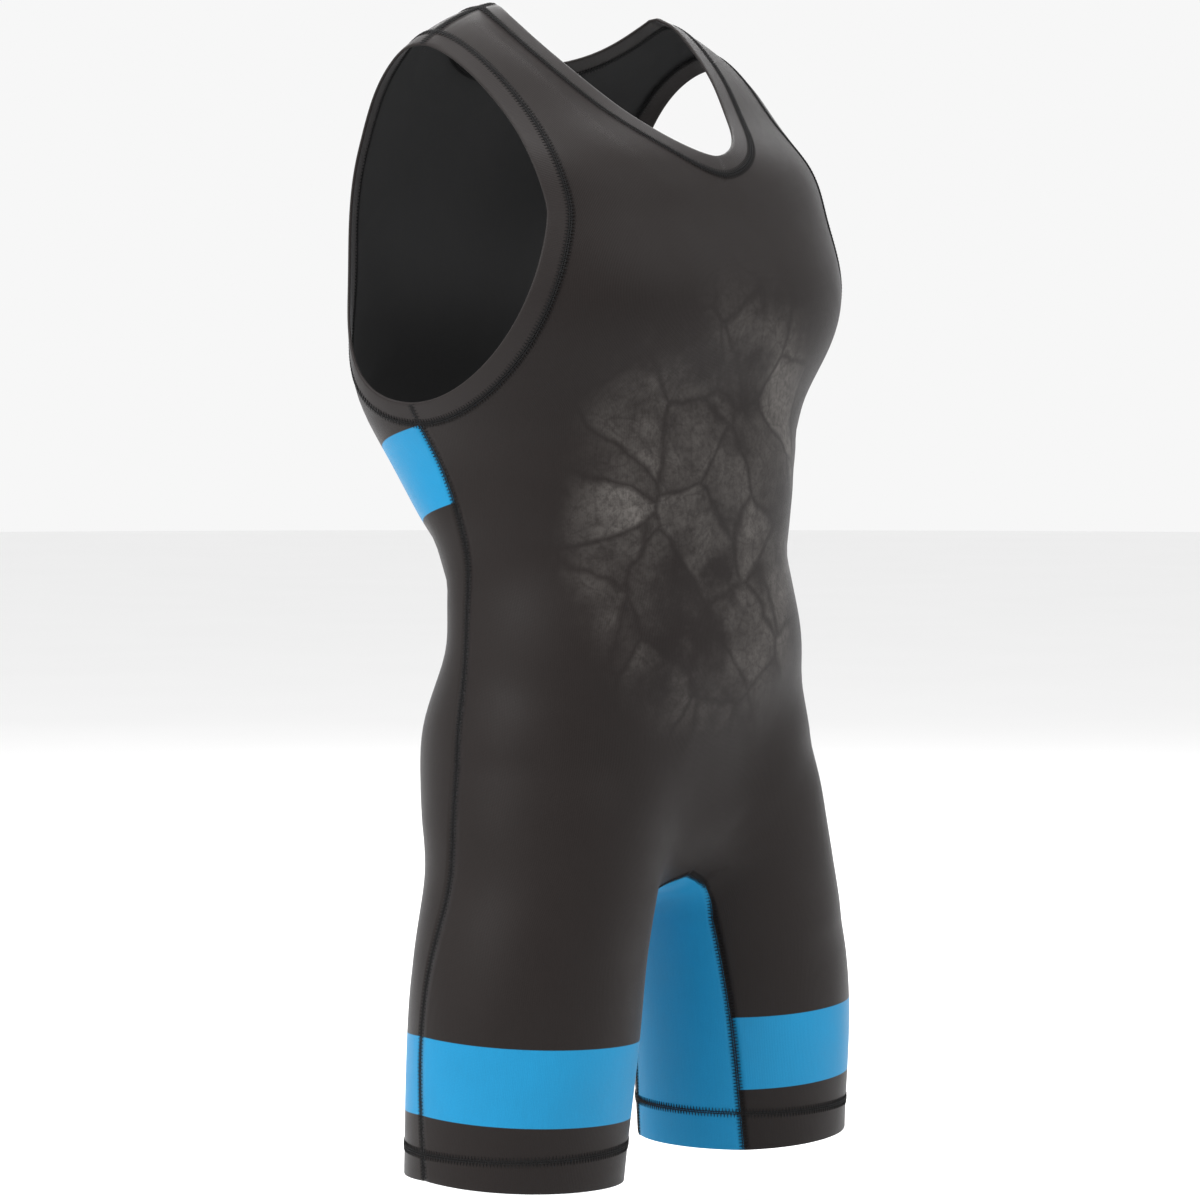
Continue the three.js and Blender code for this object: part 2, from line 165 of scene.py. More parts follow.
def lerp(a, b, share):
    """The point the given share of the way from a to b."""
    return a + (b - a) * share


class Profile:
    """Natural cubic curves through the columns of a table, read by its first column."""

    def __init__(self, columns, rows):
        table = np.array(sorted(rows), float)
        self.columns = columns
        self.at = table[:, 0]
        self.values = table[:, 1:]
        gaps = np.diff(self.at)
        slopes = np.diff(self.values, axis=0) / gaps[:, None]
        system = np.eye(len(self.at))
        turns = np.zeros_like(self.values)
        for i in range(1, len(self.at) - 1):
            system[i, i - 1 : i + 2] = gaps[i - 1], 2 * (gaps[i - 1] + gaps[i]), gaps[i]
            turns[i] = 6 * (slopes[i] - slopes[i - 1])
        self.bends = np.linalg.solve(system, turns)

    def __call__(self, where):
        place = np.clip(np.asarray(where, float), self.at[0], self.at[-1])
        i = np.clip(np.searchsorted(self.at, place), 1, len(self.at) - 1)
        step = (self.at[i] - self.at[i - 1])[..., None]
        a = (self.at[i] - place)[..., None] / step
        b = 1 - a
        bend = (a**3 - a) * self.bends[i - 1] + (b**3 - b) * self.bends[i]
        read = a * self.values[i - 1] + b * self.values[i] + bend * step**2 / 6
        return dict(zip(self.columns, np.moveaxis(read, -1, 0)))


torso_at = Profile(TORSO_COLUMNS, TORSO)
leg_at = Profile(LEG_COLUMNS, LEG)
gusset_at = Profile(GUSSET_COLUMNS, GUSSET)


def squared(reaches, squareness):
    """Zero on a squared ellipse, negative inside it."""
    return sum(np.abs(reach) ** squareness for reach in reaches) ** (1 / squareness) - 1


def torso_field(p):
    """Zero on the body of the figure, from the shoulders to the seat."""
    size = torso_at(p[..., 2])
    deep = p[..., 1] - size["middle"]
    across = p[..., 0] / size["half_width"]
    forward = deep / np.where(deep < 0, size["front"], size["back"])
    over = np.maximum(p[..., 2] - SHOULDER_BASE, 0) / SHOULDER_RISE
    under = np.maximum(SEAT_BASE - p[..., 2], 0) / SEAT_DROP
    return squared((across, forward, over, under), size["squareness"])


def leg_field(p, side):
    """Zero on one leg of the figure, on the side -1 right or 1 left."""
    size = leg_at(p[..., 2])
    deep = p[..., 1] - size["middle"]
    across = (p[..., 0] - side * size["centre"]) / size["half_width"]
    forward = deep / np.where(deep < 0, size["front"], size["back"])
    over = np.maximum(p[..., 2] - LEG_TOP, 0) / LEG_RISE
    return squared((across, forward, over), LEG_SQUARENESS)


def merged(a, b):
    """The lesser of two fields, run softly into each other."""
    overlap = np.maximum(MERGE - np.abs(a - b), 0) / MERGE
    return np.minimum(a, b) - overlap**3 * MERGE / 6


def figure(p):
    """Zero on the figure, negative inside it."""
    return SCALE * merged(merged(leg_field(p, -1), leg_field(p, 1)), torso_field(p))


def outward(p):
    """The field's slope at each point, which faces out of the figure."""
    h = 0.5
    slopes = [figure(p + h * axis) - figure(p - h * axis) for axis in np.eye(3)]
    return np.stack(slopes, -1) / (2 * h)


def leaving(origin, direction):
    """Where lines from inside the figure leave it."""
    origin, direction = np.broadcast_arrays(np.asarray(origin, float), np.asarray(direction, float))
    along = unit(direction)
    step = 5.0
    inside = np.zeros(along.shape[:-1])
    for _ in range(80):
        going = figure(origin + along * (inside + step)[..., None]) < 0
        if not going.any():
            break
        inside = inside + step * going
    outside = inside + step
    for _ in range(16):
        middle = (inside + outside) / 2
        within = figure(origin + along * middle[..., None]) < 0
        inside = np.where(within, middle, inside)
        outside = np.where(within, outside, middle)
    return origin + along * inside[..., None]


def settled(p):
    """Moves points near the figure onto it."""
    for _ in range(4):
        slope = outward(p)
        p = p - slope * (figure(p) / (slope**2).sum(-1))[..., None]
    return p


def core_of(p, x=0.0):
    """The point inside the figure from which a point of the cloth is aimed."""
    height = np.minimum(p[..., 2], SHOULDER_CORE)
    return np.stack([np.broadcast_to(x, height.shape), torso_at(height)["middle"], height], -1)


def bearing(p, core, facing):
    """Turn away from straight ahead, and lift from level, of each point seen from its core."""
    reach = p - core
    turn = np.arctan2(reach[..., 0], facing * reach[..., 1])
    return turn, np.arctan2(reach[..., 2], np.hypot(reach[..., 0], reach[..., 1]))


def between(start, start_core, end, end_core, share, facing):
    """Points the given shares of the way round one face of the figure."""
    turn_a, lift_a = bearing(start, start_core, facing)
    turn_b, lift_b = bearing(end, end_core, facing)
    turn = lerp(turn_a, turn_b, share)
    lift = lerp(lift_a, lift_b, share)
    level = np.cos(lift)
    direction = np.stack([np.sin(turn) * level, facing * np.cos(turn) * level, np.sin(lift)], -1)
    return leaving(lerp(start_core, end_core, share[..., None]), direction)


def even_places(curve, count):
    """Parameters of a curve that space its points evenly along it."""
    fine = np.linspace(0, 1, 241)
    points = curve(fine)
    steps = np.linalg.norm(np.diff(points, axis=0), axis=-1)
    lengths = np.concatenate([[0], np.cumsum(steps)])
    return np.interp(np.linspace(0, lengths[-1], count + 1), lengths, fine)


def points_at(x, y, z):
    """Points from coordinates of one shape."""
    return np.stack(np.broadcast_arrays(x, y, z), -1).astype(float)


def side_seam(height, x=0.0):
    """Points of the right side seam, level with a core at x."""
    height = np.asarray(height, float)
    return leaving(points_at(x, torso_at(height)["side_seam"], height), (-1, 0, 0))


CORE_STRAIGHT = LEG_CORE - HEM_INNER
CORE_RISE = CROTCH_CORE - LEG_CORE
CORE_LENGTH = CORE_STRAIGHT + (math.pi / 4) * (float(leg_at(LEG_CORE)["centre"]) + CORE_RISE)
CORE_KNOTS = np.concatenate([[0], np.linspace(28, CORE_LENGTH, 12)])


def inner_leg_rows(core, reach):
    """Points of the right half of the inner leg panel at places along its core, and the x of their cores."""
    core, reach = np.broadcast_arrays(np.asarray(core, float), np.asarray(reach, float))
    ends = gusset_at(core / CORE_LENGTH)
    turn = np.clip((core - CORE_STRAIGHT) / (CORE_LENGTH - CORE_STRAIGHT), 0, 1) * (math.pi / 2)
    height = np.where(turn > 0, LEG_CORE + CORE_RISE * np.sin(turn), HEM_INNER + core)
    leg = leg_at(np.minimum(height, LEG_CORE))
    origin = points_at(-leg["centre"] * np.cos(turn), leg["middle"], height)
    round_leg = np.radians(lerp(-ends["front"], ends["back"], (reach + 1) / 2))
    direction = points_at(
        np.cos(round_leg) * np.cos(turn),
        np.sin(round_leg),
        -np.cos(round_leg) * np.sin(turn),
    )
    return leaving(origin, direction), origin[..., 0]


def through(values, places):
    """Smooth curves, without overshoot, through rows of points at CORE_KNOTS."""
    gaps = np.diff(CORE_KNOTS)[:, None, None]
    slopes = np.diff(values, axis=0) / gaps
    before, after = slopes[:-1], slopes[1:]
    near, far = 2 * gaps[1:] + gaps[:-1], gaps[1:] + 2 * gaps[:-1]
    same = before * after > 0
    mean = (near + far) / (near / np.where(same, before, 1) + far / np.where(same, after, 1))
    leaning = np.concatenate([slopes[:1], np.where(same, mean, 0), slopes[-1:]])
    i = np.clip(np.searchsorted(CORE_KNOTS, places) - 1, 0, len(CORE_KNOTS) - 2)
    gap = gaps[i]
    t = (places - CORE_KNOTS[i])[:, None, None] / gap
    start = (2 * t**3 - 3 * t**2 + 1) * values[i] + (t**3 - 2 * t**2 + t) * gap * leaning[i]
    return start + (3 * t**2 - 2 * t**3) * values[i + 1] + (t**3 - t**2) * gap * leaning[i + 1]


def inner_leg(places, reach):
    """A grid of points of the inner leg panel, at places along its core and reaches -1 front to 1 back."""
    knots, _ = inner_leg_rows(CORE_KNOTS[:, None], np.asarray(reach, float)[None, :])
    return settled(through(knots, np.asarray(places, float)))


def outer_leg(places, facing, shares):
    """A grid of points of one panel's right leg, from its side seam at 0 to the inner leg panel at 1."""
    inner, core_x = inner_leg_rows(CORE_KNOTS, facing)
    outer = side_seam(lerp(HEM_OUTER, HIP_SEAM, CORE_KNOTS / CORE_LENGTH), core_x)
    start, end = core_of(outer, core_x)[:, None], core_of(inner, core_x)[:, None]
    share = np.broadcast_to(shares, (len(inner), len(shares)))
    knots = between(outer[:, None], start, inner[:, None], end, share, facing)
    return settled(through(knots, np.asarray(places, float)))


def strap_end(x):
    """Points of the right shoulder seam at distances x from the middle."""
    return leaving(points_at(-np.asarray(x, float), SHOULDER_Y, SHOULDER_CORE), (0, 0, 1))


def centre_line(facing, height):
    """Points of the front's or the back's centre line."""
    height = np.asarray(height, float)
    return leaving(points_at(0, torso_at(height)["middle"], height), (0, facing, 0))


def armhole_seam(facing, t):
    """Stitching of the right armhole's hem, from the side seam at 0 to the shoulder seam at 1."""
    aim = np.array(ARMHOLE_CENTRE, float)
    bottom = side_seam(ARMHOLE_BOTTOM) - aim
    top = strap_end(STRAP_OUTER) - aim
    bottom = bottom / -bottom[0]
    top = top / -top[0]
    angle = (np.asarray(t, float) - 0.5) * math.pi
    if facing < 0:
        power = 2 / np.where(angle > 0, ARMHOLE_UPPER[facing], ARMHOLE_LOWER[facing])
    else:
        power = 2 / ARMHOLE_UPPER[facing]
    up = np.sign(angle) * np.abs(np.sin(angle)) ** power
    direction = lerp(bottom, top, ((1 + up) / 2)[..., None])
    direction[..., 1] += facing * ARMHOLE_REACH[facing] * np.abs(np.cos(angle)) ** power
    return leaving(aim, direction)


def neck_seam(facing, t):
    """Stitching of the neck hem on the right half, from the centre line at 0 to the shoulder seam at 1."""
    aim = np.array((0, SHOULDER_Y, NECK_CENTRE), float)
    low = centre_line(facing, NECK_FRONT if facing < 0 else NECK_BACK) - aim
    high = strap_end(STRAP_INNER) - aim
    angle = np.asarray(t, float) * math.pi / 2
    across = np.abs(np.sin(angle)) ** (2 / NECK_FULLNESS[facing])
    down = np.abs(np.cos(angle)) ** (2 / NECK_FULLNESS[facing])
    return leaving(aim, points_at(high[0] * across, low[1] * down, lerp(high[2], low[2], down)))


def crease_lines():
    """Both sides' creases as points on the figure, with their half widths and rises."""
    lines = []
    for start, end, width, rise in CREASES:
        for side, share, shift in ((-1, 1.0, 0), (1, LEFT_SHARE, LEFT_SHIFT)):
            ends = []
            for x, height, facing in (start, end):
                height = height - shift
                origin = points_at(side * x, torso_at(height)["middle"], height)
                ends.append(leaving(origin, (0, facing, 0)))
            lines.append((ends[0], ends[1], width, rise * share))
    return lines


CREASE_LINES = crease_lines()


def creased(p):
    """How far the cloth stands out of the figure at each point."""
    rise = np.zeros(p.shape[:-1])
    for start, end, width, height in CREASE_LINES:
        run = end - start
        share = np.clip(((p - start) @ run) / (run @ run), 0, 1)
        gap = np.linalg.norm(p - start - share[..., None] * run, axis=-1)
        taper = np.sin(np.pi * np.clip(0.15 + 0.85 * share, 0, 1)) ** 0.8
        rise = rise + height * taper * np.exp(-((gap / width) ** 2))
    return rise


def clothed(p, lift=0.0):
    """Points of the cloth over points of the figure, moved out by lift."""
    return p + unit(outward(p)) * (creased(p) + lift)[..., None]


def leg_steps(length, hem_depth, fold):
    """Distances up a leg from its hem: close rows over the turned hem, then even ones."""
    hem = np.linspace(fold, hem_depth, HEM_ROWS)
    return np.concatenate([hem, np.linspace(hem_depth, length, LEG_ROWS + 1)[1:]])


def arc_lengths(points, axis):
    """Running length along one axis of a grid of points."""
    steps = np.linalg.norm(np.diff(points, axis=axis), axis=-1)
    start = np.zeros_like(np.take(steps, [0], axis=axis))
    return np.concatenate([start, np.cumsum(steps, axis=axis)], axis=axis)


def seam_shares(columns, width, inset_start, inset_end):
    """Shares of the way across a row, kept clear of the seams at its ends."""
    start = SEAM_INSET / width if inset_start else 0.0
    end = SEAM_INSET / width if inset_end else 0.0
    return np.linspace(start, 1 - end, columns + 1)


def half_panel(facing, hem_depth, fold):
    """The right half of a panel: its leg and body rows as one grid each, with their cloth coordinates."""
    steps = leg_steps(CORE_LENGTH, hem_depth, fold)
    legs = outer_leg(steps, facing, seam_shares(HALF_COLUMNS, LEG_WIDTH, True, True))
    crotch = outer_leg(steps[-1:], facing, np.ones(1))[0, 0]

    body_at = even_places(lambda t: side_seam(lerp(HIP_SEAM, ARMHOLE_BOTTOM, t)), BODY_ROWS)
    outer_body = side_seam(lerp(HIP_SEAM, ARMHOLE_BOTTOM, body_at))
    rim_at = even_places(lambda t: armhole_seam(facing, t), CHEST_ROWS + STRAP_ROWS)
    outer_rim = armhole_seam(facing, rim_at)

    chest = centre_line(facing, ARMHOLE_BOTTOM)
    neck_low = neck_seam(facing, np.zeros(1))[0]

    def middle(low, high):
        return lambda t: between(low, core_of(low), high, core_of(high), t, facing)

    belly = middle(crotch, chest)
    breast = middle(chest, neck_low)
    inner_body = belly(even_places(belly, BODY_ROWS))
    inner_chest = breast(even_places(breast, CHEST_ROWS))
    neck_at = even_places(lambda t: neck_seam(facing, t), STRAP_ROWS)

    body = (
        np.concatenate([outer_body, outer_rim[1 : CHEST_ROWS + 1]]),
        np.concatenate([inner_body, inner_chest[1:]]),
    )
    strap = (outer_rim[CHEST_ROWS:], neck_seam(facing, neck_at))

    grids = [legs]
    for (outer, inner), open_end in ((body, False), (strap, True)):
        width = np.linalg.norm(outer - inner, axis=-1).mean()
        share = seam_shares(HALF_COLUMNS, width, True, open_end)[None, :]
        share = np.broadcast_to(share, (len(outer), HALF_COLUMNS + 1))
        start_core = core_of(outer)[:, None, :]
        end_core = core_of(inner)[:, None, :]
        grids.append(between(outer[:, None, :], start_core, inner[:, None, :], end_core, share, facing))
    # The rows where two grids meet are one row of the cloth.
    grids[0][-1, :] = grids[1][0, :]
    grids[2][0, :] = grids[1][-1, :]

    cloth = []
    along = np.full((1, HALF_COLUMNS + 1), fold)
    for grid in grids:
        along = along[-1:, :] + arc_lengths(grid, 0)
        inner_x = -grid[:, -1:, 0]
        to_middle = arc_lengths(grid, 1)
        across = -(inner_x + to_middle[:, -1:] - to_middle)
        share_out = (to_middle[:, -1:] - to_middle) / to_middle[:, -1:]
        cloth.append({"grid": grid, "across": across, "along": along, "share_out": share_out})
    return cloth


def turned_rows(rows, depth):
    """Rows for a hem turned inside: the inner layer's rows from its raw edge to the fold, and round it."""
    edge, above = rows[0], rows[1]
    out = unit(outward(edge))
    down = unit(edge - above)
    radius = depth / 2
    fold = []
    for angle in FOLD_ANGLES:
        turn = math.radians(angle)
        fold.append(edge + radius * (down * math.sin(turn) - out * (1 - math.cos(turn))))
    inner = [row - unit(outward(row)) * depth for row in rows]
    return inner[::-1] + fold[::-1]


# Meshes from grids


def mirrored(grid):
    """The same grid on the left, with its faces still outward."""
    return grid[:, ::-1] * MIRROR


def new_piece(name, points, faces, materials):
    """A smooth object from points in millimetres, linked to the scene."""
    mesh = bpy.data.meshes.new(name)
    mesh.from_pydata((points * MM).tolist(), [], faces)
    mesh.polygons.foreach_set("use_smooth", [True] * len(mesh.polygons))
    for material in materials:
        mesh.materials.append(material)
    piece = bpy.data.objects.new(name, mesh)
    bpy.context.scene.collection.objects.link(piece)
    return piece


def mesh_piece(name, grids, materials, thickness):
    """A sheet of cloth from grids of points and vector attributes, joined where their points meet."""
    points = np.concatenate([entry["points"].reshape(-1, 3) for entry in grids])
    faces = []
    first = 0
    for entry in grids:
        rows, columns = entry["points"].shape[:2]
        index = first + np.arange(rows * columns).reshape(rows, columns)
        corners = (index[:-1, :-1], index[:-1, 1:], index[1:, 1:], index[1:, :-1])
        faces.append(np.stack([corner.ravel() for corner in corners], -1))
        first += rows * columns
    keys = np.round(points * 50).astype(np.int64)
    _, kept, where = np.unique(keys, axis=0, return_index=True, return_inverse=True)
    where = where.ravel()
    faces = where[np.concatenate(faces)]
    faces = [tuple(dict.fromkeys(face)) for face in faces.tolist()]
    faces = [face for face in faces if len(face) > 2]
    piece = new_piece(name, points[kept], faces, materials)
    for place in [key for key in ("grain", "bands", "motif") if key in grids[0]]:
        values = np.concatenate([entry[place].reshape(-1, 3) for entry in grids])[kept]
        layer = piece.data.attributes.new(place, "FLOAT_VECTOR", "POINT")
        layer.data.foreach_set("vector", (values * MM).astype(np.float32).ravel())
    piece.data.update()
    wall = piece.modifiers.new("cloth", "SOLIDIFY")
    wall.thickness = thickness
    wall.offset = -1
    wall.use_even_offset = False
    wall.material_offset = len(materials) - 1
    return piece


def fit_to_frame(piece, node=None):
    """Rides the piece on the garment, in place of the given node."""
    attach(piece, "root")
    if node:
        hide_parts(node)


def with_turned_hem(grid, along, fold, *others):
    """A grid, its lengths and other values, with the rows of a turned-in hem put before them."""
    rows = turned_rows(list(grid[:HEM_ROWS]), fold)
    lengths = np.concatenate([along[:HEM_ROWS][::-1], np.repeat(along[:1], len(FOLD_ANGLES), 0), along])
    repeated = [np.concatenate([np.repeat(value[:1], len(rows), 0), value]) for value in others]
    return np.concatenate([rows, grid]), lengths, *repeated


CHEVRON_ROUND = 0.2  # how round the back band's point is, as a share of the half width
NO_BAND = 1000.0  # a distance at which no band shows
PRINT_FADE = 0.45  # share of the print over which it fades out


def panel_grids(facing, sizes):
    """All grids of a panel, right and left, with its cloth, band and motif coordinates."""
    depth = sizes.hem_depth / MM
    fold = sizes.fold / MM
    found = []
    for k, part in enumerate(half_panel(facing, depth, fold / 2)):
        grid = clothed(part["grid"])
        across, along, share_out = part["across"], part["along"], part["share_out"]
        height = part["grid"][..., 2]
        if k == 0:
            grid, along, across, share_out, height = with_turned_hem(
                grid, along, fold, across, share_out, height
            )
        leg_band = along - (sizes.band_rise + sizes.band_height / 2) / MM
        if facing > 0:
            rounding = math.hypot(1, CHEVRON_ROUND) - CHEVRON_ROUND
            share = (np.hypot(share_out, CHEVRON_ROUND) - CHEVRON_ROUND) / rounding
            back_band = height - (sizes.back_band_height - sizes.back_band_drop * (1 - share)) / MM
            mask = np.zeros_like(across)
        else:
            back_band = np.full_like(across, NO_BAND)
            reach = np.hypot(
                across * MM / sizes.motif_half_width,
                (height * MM - sizes.motif_centre) / sizes.motif_half_height,
            )
            mask = np.clip((1 - reach) / PRINT_FADE, 0, 1)
            mask = mask * mask * (3 - 2 * mask) / MM
        entry = {
            "points": grid,
            "grain": points_at(across, along, 0),
            "bands": points_at(leg_band, back_band, 0),
            "motif": points_at(across, height, mask),
        }
        other = {key: value[:, ::-1].copy() for key, value in entry.items()}
        other["points"] = other["points"] * MIRROR
        other["grain"][..., 0] *= -1
        other["motif"][..., 0] *= -1
        for half in (entry, other):
            if facing > 0:
                half = {key: value[:, ::-1] for key, value in half.items()}
            found.append(half)
    return found


def gusset_grids(sizes):
    """Both halves of the inner leg panel, with their cloth coordinates."""
    fold = sizes.fold / MM
    steps = leg_steps(CORE_LENGTH, sizes.hem_depth / MM, fold / 2)
    inset = SEAM_INSET / GUSSET_WIDTH
    grid = inner_leg(steps, np.linspace(-1 + inset, 1 - inset, GUSSET_COLUMN_COUNT + 1))
    grid[-1, :, 0] = 0.0
    across = arc_lengths(grid, 1)
    across = across - across[:, -1:] / 2
    along = steps[:, None] + np.zeros_like(across)
    grid, along, across = with_turned_hem(clothed(grid), along, fold, across)
    right = {"points": grid, "grain": points_at(across, along, 0)}
    left = {"points": mirrored(grid), "grain": points_at(-across[:, ::-1], along[:, ::-1], 0)}
    return [right, left]


def both_faces(seam, rows):
    """Evenly spaced points of a seam on the front and on the back."""
    found = []
    for facing in (-1, 1):
        places = even_places(lambda t: seam(facing, t), rows)
        found.append(seam(facing, places))
    return found


def armhole_loop(rows):
    """Closed loop of the right armhole's stitching, with the opening on its left seen from outside."""
    front, back = both_faces(armhole_seam, rows)
    return np.concatenate([front[:-1], back[1:][::-1]])


def neck_loop(rows):
    """Closed loop of the neck's stitching, the same way round."""
    front, back = both_faces(neck_seam, rows)
    right = np.concatenate([front, back[:-1][::-1]])
    left = (right[1:-1] * MIRROR)[::-1]
    return np.concatenate([right, left])[::-1]


def round_loop(loop):
    """Directions along a closed loop at its points."""
    return unit(np.roll(loop, -1, axis=0) - np.roll(loop, 1, axis=0))


def along_path(path, closed):
    """Directions along a loop or a line at its points."""
    return round_loop(path) if closed else unit(np.gradient(path, axis=0))


def edge_rows(loop, width, proud):
    """Rows of a turned edge on the figure, from its stitching towards its fold, and their cloth points."""
    rows = [loop]
    for _ in range(EDGE_ROWS):
        last = rows[-1]
        into = unit(np.cross(outward(last), round_loop(last)))
        rows.append(settled(last + into * (width / EDGE_ROWS)))
    return [clothed(row, proud) for row in rows]


def edge_grid(loop, sizes):
    """The grid of a turned edge: outer layer, fold and inner layer."""
    fold = sizes.fold / MM
    proud = sizes.edge_proud / MM
    rows = edge_rows(loop, sizes.edge_width / MM - fold / 2, proud)
    turned = turned_rows(rows[::-1], fold)
    grid = np.array(rows + turned[::-1])
    grid = np.concatenate([grid, grid[:, :1]], axis=1)
    across = arc_lengths(grid, 1)[:1] + np.zeros((len(grid), 1))
    along = arc_lengths(grid, 0)
    return {"points": grid, "grain": points_at(across, along, 0)}


# Stitching, with heights above the cloth in thread radii

COVER_RISE = 0.6
NEEDLE_RISES = (0.3, 1.7)
NEEDLE_ROWS = (-0.22, 0.22)  # shares of half the stitching's width


def tube(path, out, radius, sides, closed):
    """Vertices and faces of a thread along a path, as (points, faces)."""
    along = along_path(path, closed)
    across = unit(np.cross(out, along))
    up = np.cross(along, across)
    angles = np.arange(sides) * 2 * math.pi / sides
    rings = path[:, None, :] + radius * (
        np.cos(angles)[None, :, None] * across[:, None, :]
        + np.sin(angles)[None, :, None] * up[:, None, :]
    )
    count = len(path)
    index = np.arange(count * sides).reshape(count, sides)
    following = np.roll(index, -1, axis=0) if closed else index[1:]
    here = index if closed else index[:-1]
    corners = (here, np.roll(here, -1, axis=1), np.roll(following, -1, axis=1), following)
    faces = np.stack([corner.ravel() for corner in corners], -1).tolist()
    if not closed:
        faces.append(tuple(index[0][::-1].tolist()))
        faces.append(tuple(index[-1].tolist()))
    return rings.reshape(-1, 3), faces


def resampled(line, spacing, closed):
    """Points along a line in a whole number of equal steps near the spacing."""
    if closed:
        line = np.concatenate([line, line[:1]])
    lengths = arc_lengths(line, 0)
    count = max(int(round(lengths[-1] / spacing)), 4)
    wanted = np.linspace(0, lengths[-1], count + 1)
    points = np.stack([np.interp(wanted, lengths, line[:, axis]) for axis in range(3)], -1)
    return points[:-1] if closed else points


def stitch_band(line, closed, sizes, lift, inside=False):
    """Threads of one band of stitching: a cover thread that goes to and fro, and two needle rows."""
    radius = sizes.thread / MM / 2
    half = sizes.stitch_width / MM / 2
    centre = settled(resampled(line, sizes.stitch_pitch / MM / 2, closed))
    across = unit(np.cross(unit(outward(centre)), along_path(centre, closed)))
    side = -1.0 if inside else 1.0
    count = len(centre)

    swing = np.where(np.arange(count) % 2, -1.0, 1.0)
    cover = centre + across * (swing * half)[:, None]
    # A point over the middle of each rung keeps the thread round where it crosses the needle rows.
    following = np.roll(cover, -1, axis=0)
    crossing = np.roll(swing, -1) != swing
    if not closed:
        crossing[-1] = False
    path, lifts = [], []
    for k in range(count):
        path.append(cover[k])
        lifts.append(0.0)
        if crossing[k]:
            path.append((cover[k] + following[k]) / 2)
            lifts.append(radius * COVER_RISE)
    path = settled(np.array(path))
    cover_out = unit(outward(path))
    rise = creased(path) + side * (np.array(lifts) + radius * COVER_RISE) + lift
    meshes = [tube(path + cover_out * rise[:, None], cover_out, radius, 5, closed)]

    for place in NEEDLE_ROWS:
        row = settled(centre + across * half * place)
        row_out = unit(outward(row))
        bob = np.array(NEEDLE_RISES)[np.arange(count) % 2]
        rise = creased(row) + side * bob * radius + lift
        meshes.append(tube(row + row_out * rise[:, None], row_out, radius, 4, closed))
    return meshes


def thread_piece(name, meshes, material):
    """One mesh of all the given threads."""
    points, faces, first = [], [], 0
    for part, part_faces in meshes:
        points.append(part)
        faces.extend([tuple(first + corner for corner in face) for face in part_faces])
        first += len(part)
    return new_piece(name, np.concatenate(points), faces, [material])


def mirrored_threads(meshes):
    """The same threads on the left."""
    return [(points * MIRROR, [face[::-1] for face in faces]) for points, faces in meshes]


def sew(name, threads, colours, both):
    """Fits threads to the garment, with their mirror on the left where there is one."""
    black = thread_material(tuple(colours.thread))
    if both:
        fit_to_frame(thread_piece(name + "_right", threads, black))
        fit_to_frame(thread_piece(name + "_left", mirrored_threads(threads), black))
    else:
        fit_to_frame(thread_piece(name, threads, black))


# Materials


def add_node(tree, kind, inputs=(), **settings):
    """A node with its settings, and its inputs linked to sockets or set to values."""
    node = tree.nodes.new(kind)
    for key, value in settings.items():
        setattr(node, key, value)
    for key, value in dict(inputs).items():
        if isinstance(value, bpy.types.NodeSocket):
            tree.links.new(value, node.inputs[key])
        else:
            node.inputs[key].default_value = value
    return node


def maths(tree, operation, *values, clamp=False):
    """The result socket of a Math node."""
    node = add_node(tree, "ShaderNodeMath", enumerate(values), operation=operation, use_clamp=clamp)
    return node.outputs[0]


def ramp(tree, value, low, high, to_low=0.0, to_high=1.0):
    """A value mapped smoothly from one range to another."""
    inputs = {"Value": value, "From Min": low, "From Max": high, "To Min": to_low, "To Max": to_high}
    node = add_node(tree, "ShaderNodeMapRange", inputs, interpolation_type="SMOOTHSTEP")
    return node.outputs["Result"]


def mixed(tree, share, first, second, blend="MIX"):
    """A colour between two, as a socket."""
    inputs = {0: share, 6: first, 7: second}
    return add_node(tree, "ShaderNodeMix", inputs, data_type="RGBA", blend_type=blend).outputs[2]


def noise(tree, place, scale, detail, roughness=0.5, output="Fac"):
    """A result socket of a noise texture."""
    inputs = {"Vector": place, "Scale": scale, "Detail": detail, "Roughness": roughness}
    return add_node(tree, "ShaderNodeTexNoise", inputs).outputs[output]


def cells(tree, place, scale, output, feature="F1"):
    """A result socket of a texture of uneven cells."""
    inputs = {"Vector": place, "Scale": scale}
    return add_node(tree, "ShaderNodeTexVoronoi", inputs, feature=feature).outputs[output]


def centred(tree, value, reach):
    """A value from 0 to 1 turned into one either side of 0."""
    return maths(tree, "MULTIPLY", maths(tree, "SUBTRACT", value, 0.5), reach)


def new_group(name, inputs, outputs):
    """An empty shader node group with the given sockets, as (group, its inputs, its output node)."""
    group = bpy.data.node_groups.new(name, "ShaderNodeTree")
    for socket, kind, default in inputs:
        made = group.interface.new_socket(socket, in_out="INPUT", socket_type=kind)
        if default is not None:
            made.default_value = default
    for socket, kind in outputs:
        group.interface.new_socket(socket, in_out="OUTPUT", socket_type=kind)
    start = group.nodes.new("NodeGroupInput")
    end = group.nodes.new("NodeGroupOutput")
    return group, start, end


